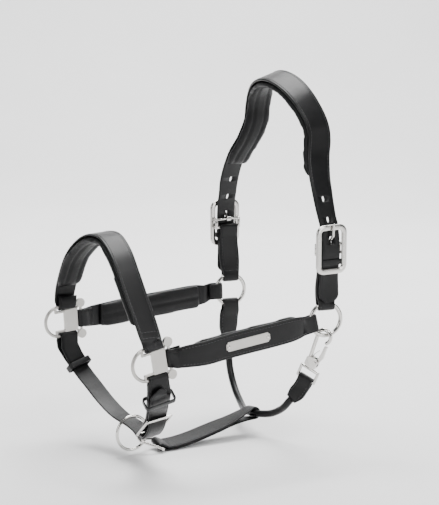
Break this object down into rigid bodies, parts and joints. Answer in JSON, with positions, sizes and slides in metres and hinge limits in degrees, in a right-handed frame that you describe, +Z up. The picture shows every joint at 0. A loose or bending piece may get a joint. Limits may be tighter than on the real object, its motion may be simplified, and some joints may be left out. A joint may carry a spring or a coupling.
{
  "type": "leather headcollar",
  "caption": "Padded leather headcollar for a horse, with cheek buckles, a rolled throat strap on a snap hook and a lead ring under the chin.",
  "frame": {"origin": "seat on the poll, under the middle of the crown padding", "axes": "+Z up, -Y towards the nose, +X towards the horse's left side; the headcollar stands as worn by a level head"},
  "size_m": [0.2142, 0.2568, 0.3807],
  "materials": {
    "bridle_leather": "smooth semi-gloss black bridle leather",
    "padding_leather": "soft matt black leather over padding",
    "rolled_leather": "smooth rolled black leather",
    "polished_nickel": "polished nickel plate",
    "satin_nickel": "fine satin nickel plate",
    "spring_steel": "plain spring steel"
  },
  "bodies": {
    "harness": {"crown_strap": "bridle_leather", "crown_padding": "padding_leather", "near_cheek_strap": "bridle_leather", "far_cheek_strap": "bridle_leather", "near_buckle_frame": "polished_nickel", "far_buckle_frame": "polished_nickel", "near_buckle_keeper": "bridle_leather", "far_buckle_keeper": "bridle_leather", "near_side_strap": "bridle_leather", "far_side_strap": "bridle_leather", "near_side_padding": "padding_leather", "far_side_padding": "padding_leather", "name_plate": "satin_nickel", "name_plate_rivets": "polished_nickel", "noseband_strap": "bridle_leather", "noseband_padding": "padding_leather", "near_nose_plate": "satin_nickel", "far_nose_plate": "satin_nickel", "chin_strap": "bridle_leather", "chin_far_keeper": "bridle_leather", "chin_near_keeper": "bridle_leather", "chin_tab": "bridle_leather", "chin_loop": "polished_nickel", "link": "polished_nickel", "connecting_strap": "bridle_leather", "throat_far_tab": "bridle_leather", "throat_roll": "rolled_leather", "throat_near_tab": "bridle_leather", "snap_body": "polished_nickel", "snap_rivet": "polished_nickel", "snap_spring": "spring_steel"},
    "near_ring": {"near_ring": "polished_nickel"},
    "far_ring": {"far_ring": "polished_nickel"},
    "lead_ring": {"lead_ring": "polished_nickel"},
    "near_tongue": {"near_buckle_tongue": "polished_nickel"},
    "far_tongue": {"far_buckle_tongue": "polished_nickel"},
    "gate": {"snap_gate": "polished_nickel"}
  },
  "joints": [
    {"name": "near_ring_turn", "type": "hinge", "parent": "harness", "child": "near_ring", "pos_m": [0.091, -0.003, -0.228], "axis": [0.9781, -0.2079, 0], "continuous": true},
    {"name": "far_ring_turn", "type": "hinge", "parent": "harness", "child": "far_ring", "pos_m": [-0.091, 0, -0.228], "axis": [0.9781, -0.2079, 0], "continuous": true},
    {"name": "lead_ring_turn", "type": "hinge", "parent": "harness", "child": "lead_ring", "pos_m": [0, -0.1765, -0.3414], "axis": [1, 0, 0], "continuous": true},
    {"name": "near_tongue_lift", "type": "hinge", "parent": "harness", "child": "near_tongue", "pos_m": [0.096, -0.005, -0.15], "axis": [0, 1, 0], "range_deg": [0, 10]},
    {"name": "far_tongue_lift", "type": "hinge", "parent": "harness", "child": "far_tongue", "pos_m": [-0.096, 0, -0.15], "axis": [0, -1, 0], "range_deg": [0, 10]},
    {"name": "gate_press", "type": "hinge", "parent": "harness", "child": "gate", "pos_m": [0.0817, -0.00774, -0.27423], "axis": [0.454, -0.891, 0], "range_deg": [0, 12], "stiffness_Nm_per_rad": 0.01, "springref_deg": -8.59}
  ]
}
